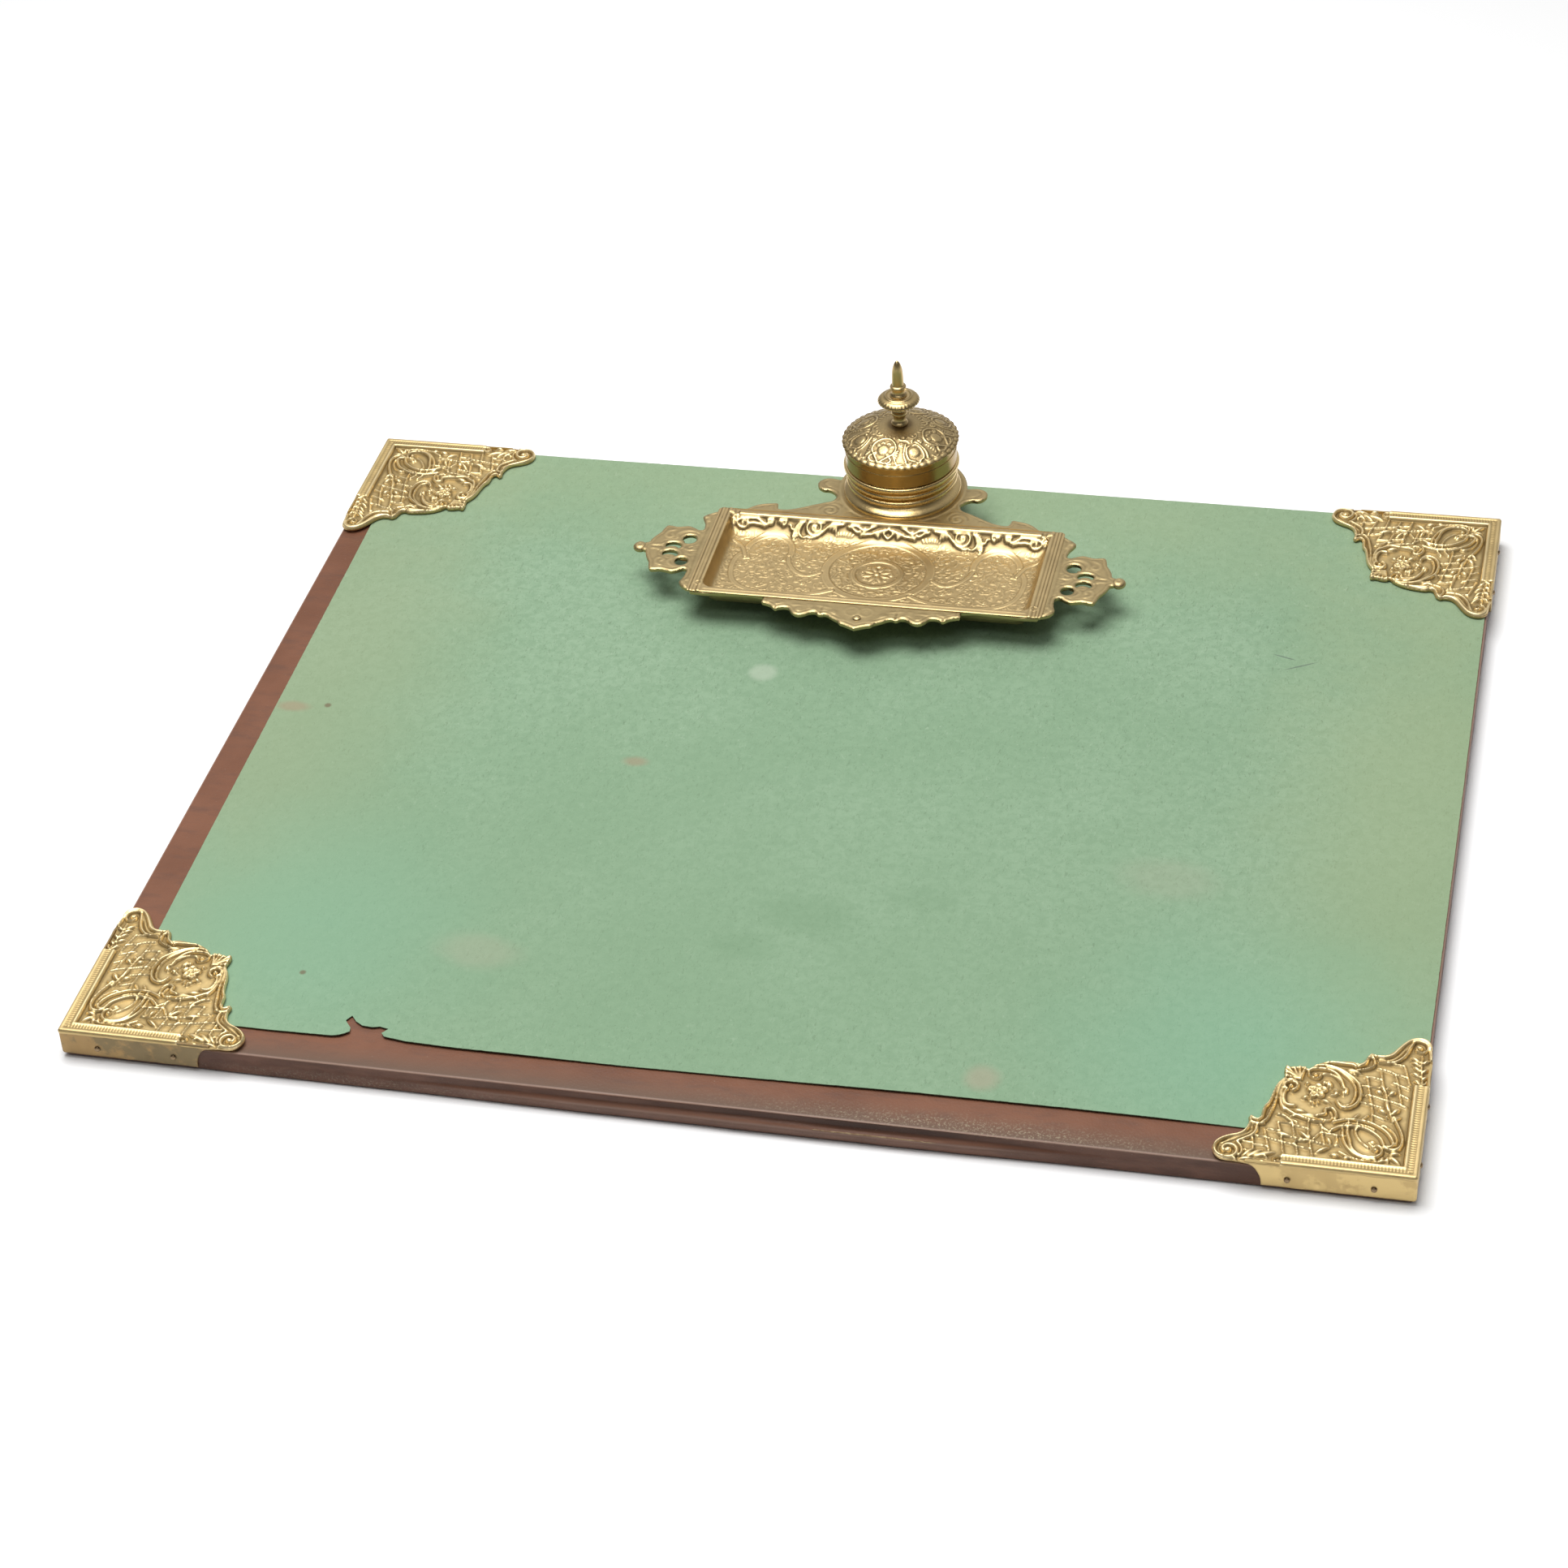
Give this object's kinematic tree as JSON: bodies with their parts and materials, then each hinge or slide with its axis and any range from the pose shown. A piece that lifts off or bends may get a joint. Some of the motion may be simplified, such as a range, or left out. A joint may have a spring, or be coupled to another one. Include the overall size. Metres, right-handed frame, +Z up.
{
  "type": "desk blotter with inkstand",
  "caption": "Leather-covered desk pad with a green blotting sheet held by ornate brass corners, and a lift-off brass inkstand with pen tray and hinged-lid inkwell.",
  "frame": {"origin": "centre of the pad's footprint, on the surface it lies on", "axes": "+X along the front edge to the writer's right, +Y to the back of the desk, +Z up"},
  "size_m": [0.5604, 0.4588, 0.101],
  "materials": {
    "board": "matte",
    "leather": "satin",
    "lining": "matte",
    "blotting_paper": "matte",
    "corner_brass": "satin",
    "pin_brass": "satin",
    "stand_brass": "satin",
    "turned_brass": "polished",
    "fastener_brass": "satin",
    "porcelain": "gloss"
  },
  "bodies": {
    "pad": {"pad_board": "board", "leather_cover": "leather", "base_lining": "lining", "corner_front_left": "corner_brass", "corner_front_right": "corner_brass", "corner_rear_left": "corner_brass", "corner_rear_right": "corner_brass", "corner_pins": "pin_brass"},
    "sheet": {"blotting_sheet": "blotting_paper"},
    "inkstand": {"stand_plate": "stand_brass", "pen_tray": "stand_brass", "tray_rivets": "stand_brass", "stand_feet": "stand_brass", "foot_screws": "fastener_brass", "apron_rivet": "stand_brass", "inkwell_base": "turned_brass", "inkwell_stud": "fastener_brass", "inkwell_nut": "fastener_brass", "ink_cup": "porcelain", "hinge_leaf_well": "stand_brass", "hinge_pin": "fastener_brass"},
    "lid": {"lid_band": "turned_brass", "lid_dome": "stand_brass", "hinge_leaf_lid": "stand_brass", "finial_stem": "turned_brass", "finial_nut": "fastener_brass", "finial_disc": "turned_brass", "finial_spike": "turned_brass"}
  },
  "joints": [
    {"name": "sheet_slide", "type": "slide", "parent": "pad", "child": "sheet", "axis": [-1, 0, 0], "range_m": [0, 0.012]},
    {"name": "inkstand_lift", "type": "slide", "parent": "sheet", "child": "inkstand", "axis": [0, 0, 1], "range_m": [0, 0.1]},
    {"name": "lid_hinge", "type": "hinge", "parent": "inkstand", "child": "lid", "pos_m": [-0.005, 0.225, 0.0462], "axis": [-1, 0, 0], "range_deg": [0, 105]}
  ]
}
